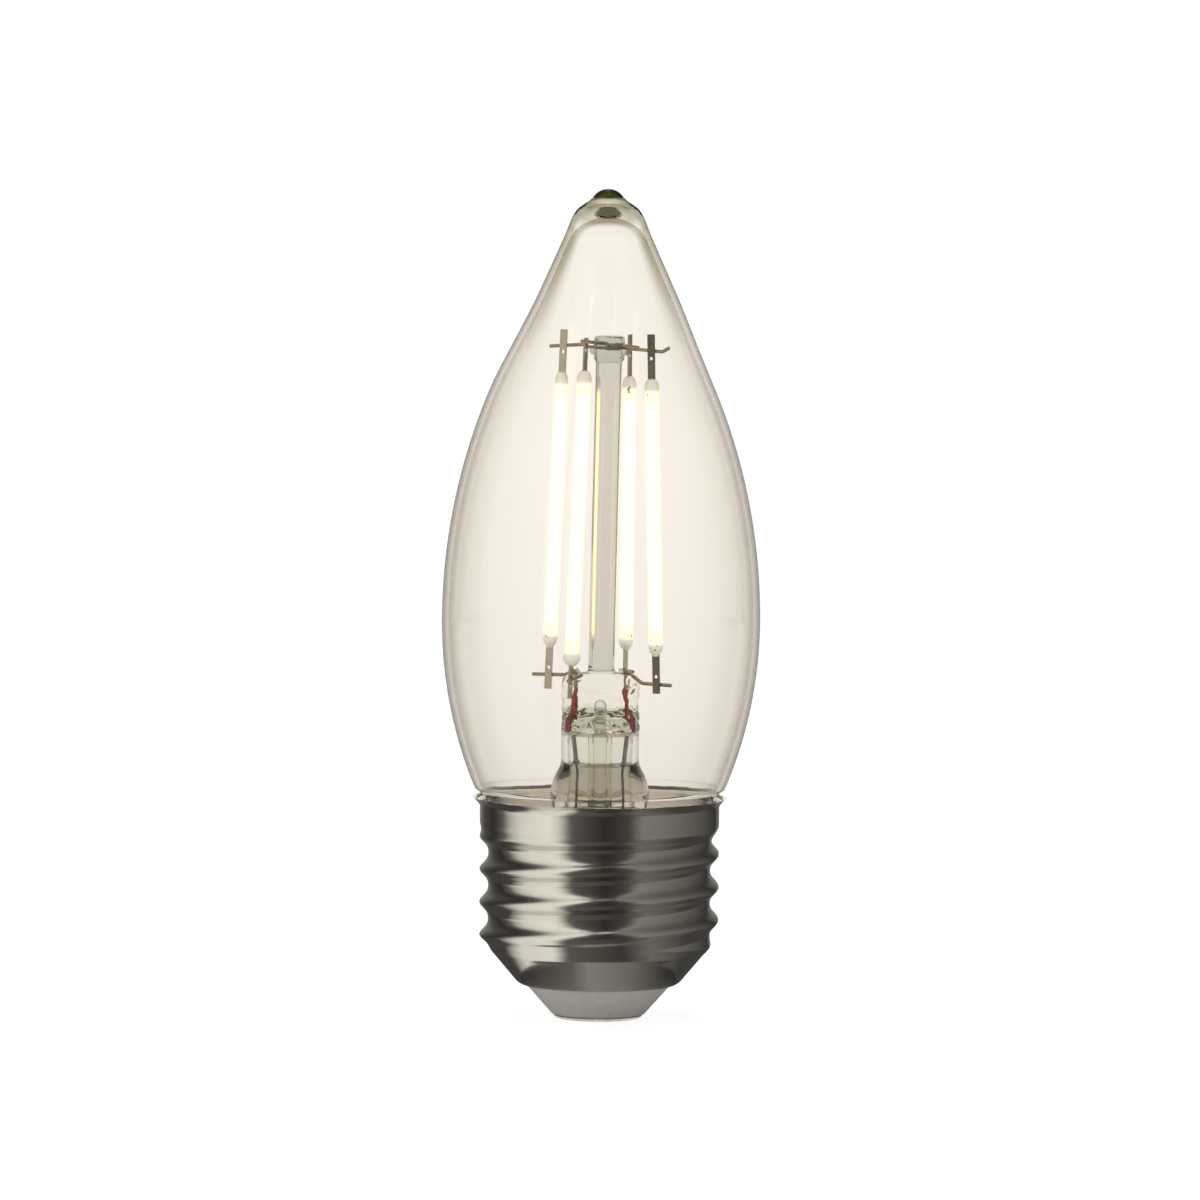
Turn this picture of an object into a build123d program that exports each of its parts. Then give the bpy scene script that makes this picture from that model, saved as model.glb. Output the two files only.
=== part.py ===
from build123d import *
from math import cos, pi, radians, sin, sqrt
import os

# Clear lamp with four light strips on a glass stem, a torpedo envelope and a medium screw cap.
# Millimetres, +Z up along the lamp's axis, origin under the middle of the centre contact.
# Seen from the front, -Y is towards the viewer and +X is to the right.

# Screw cap
cap_height = 24.3
cap_sheet = 0.3
thread_pitch = 3.629
crest_r = 13.1
root_r = 12.15
crest_height = 10.87
thread_steps_per_turn = 12
thread_low = 7.05
thread_full_low = 9.3
thread_full_high = 19.0
thread_high = 21.6
shoulder_r = 11.5
shoulder_taper = 0.844
shoulder_curl = 1.6
cap_bottom = 3.65
cap_hole_r = 8.0
lip_r = 13.95
lip_start = 22.9

# Insulator and centre contact
insulator_top = 5.0
insulator_neck_gap = 0.1
insulator_low_r = 5.1
contact_r = 4.85
contact_thickness = 0.5
contact_edge = 0.4
shank_r = 1.0
shank_gap = 0.05

# Glass envelope: neck, two round flanks that meet at the widest place, and the drawn tip.
# The drops are measured down from the top of the lamp.
lamp_height = 91.0
neck_low = 16.6
neck_r = 11.3
neck_sweep = 6.0
skirt_gap = 0.14
glass_wall = 0.7
belly_r = 17.4
belly_height = 43.7
upper_flank_drop = 19.5
upper_flank_angle = 25.2
tip_start_r = 4.75
tip_start_drop = 5.1
tip_shoulder_r = 4.2
tip_shoulder_drop = 3.7
tip_cone_low_r = 3.15
tip_cone_low_drop = 2.15
tip_cone_top_r = 1.55
tip_cone_top_drop = 0.67
tip_wall = 1.2
hollow_drop = 2.7
cement_low = 21.7
cement_drop = 0.35

# Glass stem
flare_tube_r = 4.25
flare_wall = 0.7
flare_rim_height = 0.8
flare_seal_gap = 0.05
bulge_height = 24.6
bulge_r = 5.4
bulge_end = 22.6
press_start = 31.7
press_full = 33.9
press_top = 37.9
press_thickness = 4.0
press_edge = 0.8
bore_roof = 31.6
exhaust_r = 1.3
exhaust_bore_r = 0.75
exhaust_low = 15.6
blow_hole_rise = 2.8
blow_hole_r = 0.7

# Centre rod, leaning a little to the right, and the button that holds the top wires
rod_r = 1.43
rod_foot_x = 0.05
button_x = 0.7
button_r = 1.68
button_above = 1.3
button_below = 1.4
button_edge = 0.3
nub_r = 0.45
nub_reach = 1.95
nub_drop = 0.35

# Wires
wire_r = 0.2
wire_bend = 0.5
outer_heading = -27.5
inner_heading = 61.5
top_wire_drop = 17.6
top_wire_exit = 2.3
top_wire_arch = 0.25
top_wire_arch_reach = 3.4
top_wire_sag = 0.25
top_wire_hook = 0.4
inner_wire_tilt = 0.095
low_wire_drop = 0.4
low_wire_run_in = 1.8
right_lead_drop = 0.5
lead_rise = 0.35
lead_x = 2.6
lead_spread = 0.35
dumet_r = 0.25
dumet_top = 36.2
dumet_low = 31.4
outer_lead_r = 0.25
fly_lead_r = 0.15
fly_lead_x = 2.5
knot_r = 0.4
knot_heights = {"left": 28.1, "right": 27.6}

# Light strips: the wire's heading each one sits on and which side of that wire its tabs lie,
# its reach from the axis at both ends, the gaps from its ends to the top wires and to the press,
# its beads, its tabs' lengths and how far the wires run past it
strip_heading = {1: outer_heading + 180, 2: inner_heading + 180, 3: inner_heading, 4: outer_heading}
strip_side = {1: 1, 2: -1, 3: 1, 4: -1}
top_reach = {1: 5.68, 2: 5.05, 3: 5.25, 4: 5.32}
low_reach = {1: 6.17, 2: 6.19, 3: 6.28, 4: 6.91}
top_gap = {1: 2.7, 2: 2.2, 3: 3.25, 4: 3.15}
low_gap = {1: 2.5, 2: 1.1, 3: 1.95, 4: 2.05}
bead_r = {1: 0.8, 2: 0.92, 3: 0.8, 4: 0.8}
top_tab = {1: 4.6, 2: 3.5, 3: 4.5, 4: 4.8}
low_tab = {1: 4.5, 2: 3.5, 3: 4.5, 4: 4.0}
top_overhang = {1: 1.7, 2: 1.2, 3: 1.4, 4: 1.9}
low_overhang = {1: 2.25, 2: 1.2, 3: 1.2, 4: 1.75}
jacket_r = 0.76
substrate_width = 0.8
substrate_depth = 0.4
bead_length = 1.8
bead_seat = 0.6
bead_round = 0.6
tab_width = 0.85
tab_thickness = 0.15
tab_hole_r = 0.2
tab_hole_reach = 2.15
weld_gap = 0.02

# Driver in the cap
board_r = 10.5
board_thickness = 1.0
board_gap = 0.05
capacitor_r = 2.5
capacitor_height = 6.5
capacitor_edge = 0.3
capacitor_place = (-5.6, -3.8)
rectifier_size = (4.7, 3.9, 1.6)
rectifier_place = (5.2, 4.2)
chip_size = (4.9, 3.9, 1.5)
chip_place = (4.4, -4.6)
package_edge = 0.2
resistor_r = 1.1
resistor_length = 6.0
resistor_edge = 0.35
resistor_place = (-4.6, 4.8)
feed_wire_r = 0.3
neutral_heading = -23.6
neutral_start = 8.0
neutral_gap = 0.1

# Sizes worked out from those above
thread_mid_r = (crest_r + root_r) / 2
thread_swing = (crest_r - root_r) / 2
skirt_inner_r = crest_r - cap_sheet
flare_bore_r = flare_tube_r - flare_wall
flare_rim_r = neck_r - glass_wall - flare_seal_gap
blow_hole_height = bore_roof + blow_hole_rise
flank_step = belly_r - (skirt_inner_r - skirt_gap)
lower_flank_r = (flank_step ** 2 + (belly_height - lip_start) ** 2) / (2 * flank_step)
upper_flank_r = (lamp_height - upper_flank_drop - belly_height) / sin(radians(upper_flank_angle))
tip_start = (tip_start_r, lamp_height - tip_start_drop)
tip_shoulder = (tip_shoulder_r, lamp_height - tip_shoulder_drop)
tip_cone_low = (tip_cone_low_r, lamp_height - tip_cone_low_drop)
tip_cone_top = (tip_cone_top_r, lamp_height - tip_cone_top_drop)
hollow_top = lamp_height - hollow_drop
top_wire_height = lamp_height - top_wire_drop
button_top = top_wire_height + button_above
strip_top = {number: top_wire_height - gap for number, gap in top_gap.items()}
strip_low = {number: press_top + gap for number, gap in low_gap.items()}
board_low = thread_low - (shoulder_r - cap_sheet - board_r - board_gap) / shoulder_taper
board_top = board_low + board_thickness
strip_offset = wire_r + tab_thickness / 2 + weld_gap
up = Vector(0, 0, 1)

os.makedirs("parts", exist_ok=True)


def save(piece, name):
    """Label a finished piece and write its file."""
    piece.part.label = name
    export_step(piece.part, f"parts/{name}.step")


def ease(share):
    """Smooth rise from 0 to 1."""
    return share * share * (3 - 2 * share)


def compass(angle):
    """Level unit vector at an angle from +X."""
    return Vector(cos(radians(angle)), sin(radians(angle)), 0)


def thread_station(z):
    """How far the thread's circle swings off the axis at a height, and its radius."""
    if z < thread_full_low:
        share = (z - thread_low) / (thread_full_low - thread_low)
        return thread_swing * ease(share), thread_mid_r - (thread_mid_r - shoulder_r) * (1 - share) ** 2
    if z > thread_full_high:
        share = ease((z - thread_full_high) / (thread_high - thread_full_high))
        return thread_swing * (1 - share), thread_mid_r + thread_swing * share
    return thread_swing, thread_mid_r


def cap_form(inset):
    """The screw cap's outside as a filled form, drawn in by the inset."""
    steps = round((thread_high - thread_low) / thread_pitch * thread_steps_per_turn)
    with BuildPart() as form:
        # Rolled thread: a circle whose middle runs round a small helix as it climbs
        for step in range(steps + 1):
            z = thread_low + (thread_high - thread_low) * step / steps
            swing, r = thread_station(z)
            turn = 2 * pi * (z - crest_height) / thread_pitch
            with BuildSketch(Plane.XY.offset(z)):
                with Locations((swing * cos(turn), swing * sin(turn))):
                    Circle(r - inset)
        loft(ruled=True)
        # Tapered shoulder that curls in at the bottom
        floor = cap_bottom + inset
        corner_r = shoulder_r - inset - shoulder_taper * (thread_low - floor)
        with BuildSketch(Plane.XZ):
            with BuildLine():
                edge = FilletPolyline(
                    (0, floor), (corner_r, floor), (shoulder_r - inset, thread_low),
                    radius=shoulder_curl - inset,
                )
                Polyline(edge @ 1, (0, thread_low), edge @ 0)
            make_face()
        revolve(axis=Axis.Z)
        # Plain skirt with its flared lip
        with BuildSketch(Plane.XZ):
            with BuildLine():
                Polyline(
                    (0, thread_high), (crest_r - inset, thread_high), (crest_r - inset, lip_start),
                    (lip_r - inset, cap_height), (0, cap_height), close=True,
                )
            make_face()
        revolve(axis=Axis.Z)
    return form.part


def dome_r(edge, top):
    """Radius of a round dome, centred on the axis, from its edge to its top."""
    rise = top - edge[1]
    return (edge[0] ** 2 + rise ** 2) / (2 * rise)


def glass_form(inset):
    """The envelope's outside as a filled form, or the hollow inside it when drawn in by a wall."""
    lower = lower_flank_r - inset
    upper = upper_flank_r - inset
    lower_centre_r = belly_r - lower_flank_r
    upper_centre_r = belly_r - upper_flank_r
    rise = radians(upper_flank_angle)
    neck_side_r = neck_r - inset
    neck_corner = (neck_side_r, belly_height - sqrt(lower ** 2 - (neck_side_r - lower_centre_r) ** 2))
    flank_end = (upper_centre_r + upper * cos(rise), belly_height + upper * sin(rise))
    top = (0, hollow_top if inset else lamp_height)
    side_end = (tip_start[0] - tip_wall, tip_start[1]) if inset else tip_start
    with BuildPart() as form:
        with BuildSketch(Plane.XZ):
            with BuildLine():
                Polyline(top, (0, neck_low), (neck_side_r, neck_low), neck_corner)
                RadiusArc(neck_corner, (belly_r - inset, belly_height), -lower)
                RadiusArc((belly_r - inset, belly_height), flank_end, -upper)
                TangentArc(flank_end, side_end, tangent=(-sin(rise), cos(rise)))
                dome_edge = side_end
                if not inset:
                    dome_edge = tip_cone_top
                    ThreePointArc(tip_start, tip_shoulder, tip_cone_low)
                    Line(tip_cone_low, tip_cone_top)
                RadiusArc(dome_edge, top, -dome_r(dome_edge, top[1]))
            neck_face = make_face()
            corner = neck_face.vertices().sort_by_distance(neck_corner)[0]
            fillet(corner, neck_sweep + inset)
        revolve(axis=Axis.Z)
    return form.part


def bent_wire(points, r):
    """A round wire along a route of straight runs and arcs."""
    with BuildPart() as wire:
        with BuildLine() as route:
            if len(points) == 2:
                Line(*points)
            else:
                FilletPolyline(*points, radius=wire_bend)
        with BuildSketch(Plane(origin=route.line @ 0, z_dir=route.line % 0)):
            Circle(r)
        sweep(path=route.line)
    return wire


def strip_plane(number, direction=1):
    """Plane at a strip's middle, its normal along the strip and its x axis outwards."""
    out = compass(strip_heading[number])
    aside = Vector(-out.Y, out.X, 0) * strip_side[number] * strip_offset
    top = Vector(button_x, 0, strip_top[number]) + out * top_reach[number] + aside
    low = Vector(0, 0, strip_low[number]) + out * low_reach[number] + aside
    along = (top - low).normalized()
    across = (out - along * out.dot(along)).normalized()
    return Plane(origin=(top + low) / 2, x_dir=across, z_dir=along * direction)


# Screw shell, rolled from sheet
cap_outside = cap_form(0)
cap_inside = cap_form(cap_sheet)
with BuildPart() as screw_shell:
    add(cap_outside)
    add(cap_inside, mode=Mode.SUBTRACT)
    Cylinder(cap_hole_r, 2 * (cap_bottom + cap_sheet), mode=Mode.SUBTRACT)
save(screw_shell, "screw_shell")

# Insulator, moulded into the bottom of the shell
with BuildPart() as insulator:
    add(cap_inside)
    split(bisect_by=Plane.XY.offset(insulator_top), keep=Keep.BOTTOM)
    neck = cap_hole_r - insulator_neck_gap
    with BuildSketch(Plane.XZ):
        with BuildLine():
            Polyline(
                (0, contact_thickness), (insulator_low_r, contact_thickness), (neck, cap_bottom),
                (neck, cap_bottom + cap_sheet), (0, cap_bottom + cap_sheet), close=True,
            )
        make_face()
    revolve(axis=Axis.Z)
    Cylinder(shank_r + shank_gap, 2 * insulator_top, mode=Mode.SUBTRACT)
save(insulator, "insulator")

# Centre contact: a nail with a wide flat head
with BuildPart() as centre_contact:
    with BuildSketch():
        Circle(contact_r)
    extrude(amount=contact_thickness)
    fillet(centre_contact.edges().sort_by(Axis.Z)[0], contact_edge)
    with BuildSketch(Plane.XY.offset(contact_thickness)):
        Circle(shank_r)
    extrude(amount=insulator_top - contact_thickness)
save(centre_contact, "centre_contact")

# Glass envelope, blown as one piece with a thick drawn tip
glass_outside = glass_form(0)
glass_hollow = glass_form(glass_wall)
with BuildPart() as glass_envelope:
    add(glass_outside)
    add(glass_hollow, mode=Mode.SUBTRACT)
save(glass_envelope, "glass_envelope")

# Cement between the glass neck and the cap's skirt
cement_top = cap_height - cement_drop
lip_slope = (lip_r - crest_r) / (cap_height - lip_start)
cement_top_r = skirt_inner_r + lip_slope * (cement_top - lip_start)
with BuildPart() as base_cement:
    with BuildSketch(Plane.XZ):
        with BuildLine():
            Polyline(
                (neck_r, cement_low), (skirt_inner_r, cement_low), (skirt_inner_r, lip_start),
                (cement_top_r, cement_top), (neck_r, cement_top), close=True,
            )
        make_face()
    revolve(axis=Axis.Z)
    add(glass_outside, mode=Mode.SUBTRACT)
save(base_cement, "base_cement")

# Leads: up from the press to the strips' lower tabs, and down to the driver
outer_turn = compass(outer_heading)
inner_turn = compass(inner_heading)
low_wire = up * (press_top - low_wire_drop)
branch_height = press_top + lead_rise
sealed_leads = []
for side, sign, outer, inner, drop in (("left", -1, 1, 2, 0), ("right", 1, 4, 3, right_lead_drop)):
    outer_reach = low_reach[outer]
    inner_reach = low_reach[inner]
    seal_top = Vector(sign * lead_x, 0, dumet_top)
    seal_low = Vector(sign * (lead_x + lead_spread), 0, dumet_low)
    knot = Vector(sign * lead_x, 0, knot_heights[side])

    lead_end = outer_reach + low_overhang[outer]
    branch_end = inner_reach + low_overhang[inner]

    inner_lead = bent_wire([
        seal_top, Vector(sign * lead_x, 0, press_top + lead_rise),
        outer_turn * sign * (outer_reach - low_wire_run_in) + low_wire - up * drop,
        outer_turn * sign * lead_end + low_wire - up * (drop + wire_r / 2),
    ], wire_r)
    save(inner_lead, f"inner_lead_{side}")

    branch_wire = bent_wire([
        Vector(sign * lead_x, sign * wire_r, branch_height),
        inner_turn * sign * (inner_reach - low_wire_run_in) + up * press_top,
        inner_turn * sign * branch_end + low_wire,
    ], wire_r)
    save(branch_wire, f"branch_wire_{side}")

    dumet = bent_wire([seal_top, seal_low], dumet_r)
    save(dumet, f"dumet_{side}")

    thick_lead = bent_wire([seal_low, knot], outer_lead_r)
    fly_lead = bent_wire([knot, Vector(sign * fly_lead_x, 0, board_top)], fly_lead_r)
    with BuildPart() as outer_lead:
        add(thick_lead.part)
        with Locations(knot):
            Sphere(knot_r)
        add(fly_lead.part)
    save(outer_lead, f"outer_lead_{side}")
    sealed_leads += [inner_lead.part, dumet.part]

# Stem: a flare tube with a round bulge, flattened hot at the top into the press that seals the leads
with BuildPart() as stem_flare:
    with BuildSketch(Plane.XY.offset(bulge_height)):
        Circle(flare_tube_r)
    extrude(amount=press_top - bulge_height)
    with BuildSketch(Plane.YZ):
        press_half = press_thickness / 2
        Polygon(
            (-flare_tube_r, bulge_height), (flare_tube_r, bulge_height), (flare_tube_r, press_start),
            (press_half, press_full), (press_half, press_top), (-press_half, press_top),
            (-press_half, press_full), (-flare_tube_r, press_start), align=None,
        )
    extrude(amount=flare_tube_r, both=True, mode=Mode.INTERSECT)
    fillet(stem_flare.faces().sort_by(Axis.Z)[-1].edges(), press_edge)
    with BuildSketch(Plane.XZ):
        with BuildLine():
            bulge_top = bulge_height + sqrt(bulge_r ** 2 - flare_tube_r ** 2)
            waist_r = sqrt(bulge_r ** 2 - (bulge_height - bulge_end) ** 2)
            ThreePointArc((flare_tube_r, bulge_top), (bulge_r, bulge_height), (waist_r, bulge_end))
            Polyline(
                (waist_r, bulge_end), (flare_rim_r, neck_low + flare_rim_height), (flare_rim_r, neck_low),
                (flare_bore_r, bulge_end), (flare_bore_r, bulge_top), (flare_tube_r, bulge_top),
            )
        make_face()
    revolve(axis=Axis.Z)
    with BuildSketch(Plane.XY.offset(bulge_height)):
        Circle(flare_bore_r)
    extrude(amount=bore_roof - bulge_height, mode=Mode.SUBTRACT)
    # Blow hole from the exhaust tube out through the front of the press
    with BuildSketch(Plane.XY.offset(bore_roof)):
        Circle(exhaust_bore_r)
    extrude(amount=blow_hole_height - bore_roof, mode=Mode.SUBTRACT)
    with BuildSketch(Plane.XZ):
        with Locations((0, blow_hole_height)):
            Circle(blow_hole_r)
    extrude(amount=press_thickness, mode=Mode.SUBTRACT)
    for lead in sealed_leads:
        add(lead, mode=Mode.SUBTRACT)
save(stem_flare, "stem_flare")

# Exhaust tube, melted shut at its lower end
with BuildPart() as exhaust_tube:
    with BuildSketch(Plane.XY.offset(exhaust_low)):
        Circle(exhaust_r)
    extrude(amount=bore_roof - exhaust_low)
    fillet(exhaust_tube.edges().sort_by(Axis.Z)[0], exhaust_bore_r)
    with BuildSketch(Plane.XY.offset(exhaust_low + exhaust_r)):
        Circle(exhaust_bore_r)
    extrude(amount=bore_roof - exhaust_low, mode=Mode.SUBTRACT)
save(exhaust_tube, "exhaust_tube")

# Top wires, crossing in the button: one from strip 1 to strip 4, one over it from strip 2 to strip 3
wire_cross = Vector(button_x, 0, top_wire_height)
left_end = top_reach[1] + top_overhang[1]
right_end = top_reach[4] + top_overhang[4]
support_wire_outer = bent_wire([
    wire_cross - outer_turn * left_end,
    wire_cross - outer_turn * top_wire_arch_reach + up * top_wire_arch,
    wire_cross - outer_turn * top_wire_exit,
    wire_cross + outer_turn * top_wire_exit,
    wire_cross + outer_turn * (right_end - 2 * top_wire_hook) - up * top_wire_sag,
    wire_cross + outer_turn * right_end + up * top_wire_hook / 2,
], wire_r)
save(support_wire_outer, "support_wire_outer")

front_end = top_reach[2] + top_overhang[2]
back_end = top_reach[3] + top_overhang[3]
inner_cross = wire_cross + up * 2 * wire_r
support_wire_inner = bent_wire([
    inner_cross - (inner_turn - up * inner_wire_tilt) * front_end,
    inner_cross + (inner_turn - up * inner_wire_tilt) * back_end,
], wire_r)
save(support_wire_inner, "support_wire_inner")

# Centre rod, fused to the press, its top melted into a button round the top wires
rod_foot = Vector(rod_foot_x, 0, press_top)
rod_lean = (Vector(button_x, 0, button_top) - rod_foot).normalized()
rod_plane = Plane(origin=rod_foot, x_dir=(rod_lean.Z, 0, -rod_lean.X), z_dir=(0, -1, 0))
rod_length = (Vector(button_x, 0, button_top) - rod_foot).length
button_height = button_above + button_below
with BuildPart() as stem_rod:
    with BuildSketch(rod_plane):
        with BuildLine():
            Polyline(
                (0, -rod_r), (rod_r, -rod_r), (rod_r, rod_length - button_height),
                (button_r, rod_length - button_height + button_edge), (button_r, rod_length),
                (0, rod_length), close=True,
            )
        make_face()
    revolve(axis=Axis(rod_foot, rod_lean))
    fillet(stem_rod.edges().filter_by(GeomType.CIRCLE).sort_by(Axis.Z)[-1], button_edge)
    split(bisect_by=Plane.XY.offset(press_top), keep=Keep.TOP)
    for sign in (-1, 1):
        with Locations(wire_cross + outer_turn * sign * nub_reach - up * nub_drop):
            Sphere(nub_r)
    add(support_wire_outer.part, mode=Mode.SUBTRACT)
    add(support_wire_inner.part, mode=Mode.SUBTRACT)
save(stem_rod, "stem_rod")

# Light strips: substrate, phosphor jacket, end beads and contact tabs
for number in strip_heading:
    middle = strip_plane(number)
    strip_half = (strip_top[number] - strip_low[number]) / 2
    jacket_half = strip_half - bead_length
    substrate_half = jacket_half + bead_seat
    with BuildPart() as substrate:
        with BuildSketch(middle):
            Rectangle(substrate_width, substrate_depth)
        extrude(amount=substrate_half, both=True)
    save(substrate, f"strip_{number}_substrate")

    with BuildPart() as jacket:
        with BuildSketch(middle):
            Circle(jacket_r)
            Rectangle(substrate_width, substrate_depth, mode=Mode.SUBTRACT)
        extrude(amount=jacket_half, both=True)
    save(jacket, f"strip_{number}_phosphor")

    for end, direction, tab_length in (("upper", 1, top_tab[number]), ("lower", -1, low_tab[number])):
        outwards = strip_plane(number, direction)
        with BuildPart() as bead:
            with BuildSketch(outwards.offset(jacket_half)):
                Circle(bead_r[number])
            extrude(amount=bead_length)
            strip_axis = Axis(outwards.origin, outwards.z_dir)
            fillet(bead.edges().filter_by(GeomType.CIRCLE).sort_by(strip_axis)[-1], bead_round)
            with BuildSketch(outwards.offset(jacket_half)):
                Rectangle(substrate_width, substrate_depth)
            extrude(amount=bead_seat, mode=Mode.SUBTRACT)
            with BuildSketch(outwards.offset(jacket_half)):
                Rectangle(tab_width, tab_thickness)
            extrude(amount=bead_length, mode=Mode.SUBTRACT)
        save(bead, f"strip_{number}_{end}_bead")

        with BuildPart() as tab:
            with BuildSketch(outwards.offset(substrate_half)):
                Rectangle(tab_width, tab_thickness)
            extrude(amount=strip_half + tab_length - substrate_half)
            hole_plane = Plane(
                origin=outwards.origin + outwards.z_dir * (strip_half + tab_hole_reach),
                x_dir=outwards.x_dir, z_dir=outwards.y_dir,
            )
            with BuildSketch(hole_plane):
                Circle(tab_hole_r)
            extrude(amount=tab_thickness, both=True, mode=Mode.SUBTRACT)
        save(tab, f"strip_{number}_{end}_tab")

# Driver board, resting on the shell's tapered shoulder
with BuildPart() as driver_board:
    with BuildSketch(Plane.XY.offset(board_low)):
        Circle(board_r)
        Circle(feed_wire_r, mode=Mode.SUBTRACT)
    extrude(amount=board_thickness)
save(driver_board, "driver_board")

# Parts on the board
with BuildPart() as filter_capacitor:
    with BuildSketch(Plane.XY.offset(board_top)):
        with Locations(capacitor_place):
            Circle(capacitor_r)
    extrude(amount=capacitor_height)
    fillet(filter_capacitor.edges().sort_by(Axis.Z)[-1], capacitor_edge)
save(filter_capacitor, "filter_capacitor")

for name, place, (length, width, height) in (
    ("bridge_rectifier", rectifier_place, rectifier_size),
    ("driver_chip", chip_place, chip_size),
):
    with BuildPart() as package:
        with BuildSketch(Plane.XY.offset(board_top)):
            with Locations(place):
                Rectangle(length, width)
        extrude(amount=height)
        chamfer(package.faces().sort_by(Axis.Z)[-1].edges(), package_edge)
    save(package, name)

with BuildPart() as fusible_resistor:
    with BuildSketch(Plane.YZ.offset(resistor_place[0])):
        with Locations((resistor_place[1], board_top + resistor_r)):
            Circle(resistor_r)
    extrude(amount=resistor_length / 2, both=True)
    chamfer(fusible_resistor.edges().filter_by(GeomType.CIRCLE), resistor_edge)
save(fusible_resistor, "fusible_resistor")

# Feed wires from the board to the centre contact and to the shell
live_wire = bent_wire([up * insulator_top, up * board_top], feed_wire_r)
save(live_wire, "live_wire")

neutral_turn = compass(neutral_heading)
neutral_height = up * (board_top + feed_wire_r)
swing, wall_r = thread_station(board_top)
neutral_end = wall_r - swing - cap_sheet - neutral_gap
neutral_wire = bent_wire([
    neutral_turn * neutral_start + neutral_height, neutral_turn * neutral_end + neutral_height,
], feed_wire_r)
save(neutral_wire, "neutral_wire")
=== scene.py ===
import math

import bmesh
import bpy
import mathutils
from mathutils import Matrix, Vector


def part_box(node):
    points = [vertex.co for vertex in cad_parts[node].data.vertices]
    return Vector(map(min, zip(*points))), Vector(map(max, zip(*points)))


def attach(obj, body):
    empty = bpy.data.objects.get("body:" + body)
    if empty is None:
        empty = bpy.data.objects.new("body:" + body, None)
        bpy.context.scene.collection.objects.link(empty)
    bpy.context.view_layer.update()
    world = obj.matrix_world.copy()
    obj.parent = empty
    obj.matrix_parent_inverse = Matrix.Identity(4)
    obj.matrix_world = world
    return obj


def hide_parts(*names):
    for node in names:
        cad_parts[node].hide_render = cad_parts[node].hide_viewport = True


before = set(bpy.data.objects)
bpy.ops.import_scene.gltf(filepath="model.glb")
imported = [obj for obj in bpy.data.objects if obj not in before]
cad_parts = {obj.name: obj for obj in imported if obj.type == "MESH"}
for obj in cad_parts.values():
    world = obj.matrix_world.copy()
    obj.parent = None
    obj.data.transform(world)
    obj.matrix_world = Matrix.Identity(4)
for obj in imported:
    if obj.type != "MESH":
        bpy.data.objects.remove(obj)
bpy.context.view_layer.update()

MM = 0.001

# Envelope, in millimetres; a pair is a radius and a height
NECK_LOW = 16.6
NECK_TOP = 20.6
NECK_R = 11.3
NECK_SWEEP_TOP = 25.2
GLASS_WALL = 0.7
SEAT_GAP = 0.08
SEAT_GAP_TOP = 26.3
BELLY_R = 17.4
BELLY_HEIGHT = 43.7
LOWER_FLANK_R = 48.0
UPPER_FLANK_R = 65.3
UPPER_FLANK_ANGLE = 25.2
TIP_START = (4.75, 85.65)
TIP_TOP = 90.82
TIP_NECK = [(4.22, 87.0), (3.86, 87.82), (3.36, 88.6), (2.8, 89.05), (2.16, 89.47), (1.7, 89.86)]
LAMP_HEIGHT = 91.0
TIP_WALL = 0.7
HOLLOW_TOP = 88.3
CROOK = 0.45
CROOK_LOW = 69.0
CROOK_HIGH = 80.0

# Screw shell, in millimetres
SHEET = 0.3
PITCH = 3.629
CREST_R = 13.1
ROOT_R = 12.15
CREST_HEIGHT = 10.87
THREAD_LOW = 7.05
THREAD_FULL_LOW = 9.3
THREAD_FULL_HIGH = 19.0
THREAD_HIGH = 21.6
CREST_SHARPNESS = 0.16
SHOULDER_R = 11.5
SHOULDER_TAPER = 0.844
SHOULDER_CURL = 1.6
CAP_BOTTOM = 3.65
CAP_HOLE_R = 8.0
LIP_START = 23.25
LIP_R = 13.95
CAP_HEIGHT = 24.3
LIP_RAGGED = 0.09
LIP_FLARE = 1.5
SHARP_EDGE = 50

# Glass stem: rings as (height, half width, half depth, squareness), outside from rim to button top
STEM_OUTSIDE = [
    (16.6, 10.5, 10.5, 2), (17.4, 10.5, 10.5, 2), (19.7, 7.9, 7.9, 2), (21.9, 5.6, 5.6, 2),
    (22.8, 5.1, 5.1, 2), (24.6, 5.4, 5.4, 2), (26.4, 5.05, 5.05, 2), (27.5, 4.5, 4.5, 2),
    (28.2, 4.28, 4.28, 2), (29.5, 4.27, 4.27, 2), (31.2, 4.27, 4.27, 2), (31.9, 4.26, 3.95, 2.1),
    (32.7, 4.2, 3.1, 2.4), (33.4, 4.14, 2.35, 3.0), (34.0, 4.12, 2.05, 3.5), (35.2, 4.13, 2.0, 4),
    (36.6, 4.13, 2.0, 4), (37.3, 4.02, 1.92, 3.6), (37.7, 3.6, 1.8, 3), (37.87, 2.9, 1.68, 2.5),
    (37.95, 2.1, 1.58, 2.1), (38.1, 1.6, 1.5, 2), (38.6, 1.44, 1.44, 2), (42.0, 1.43, 1.43, 2),
    (55.0, 1.43, 1.43, 2), (68.0, 1.43, 1.43, 2), (71.5, 1.44, 1.44, 2), (71.9, 1.5, 1.5, 2),
    (72.2, 1.65, 1.65, 2), (72.7, 1.68, 1.68, 2), (74.2, 1.68, 1.68, 2), (74.58, 1.56, 1.56, 2),
    (74.7, 1.2, 1.2, 2), (74.72, 0.0, 0.0, 2),
]
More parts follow.
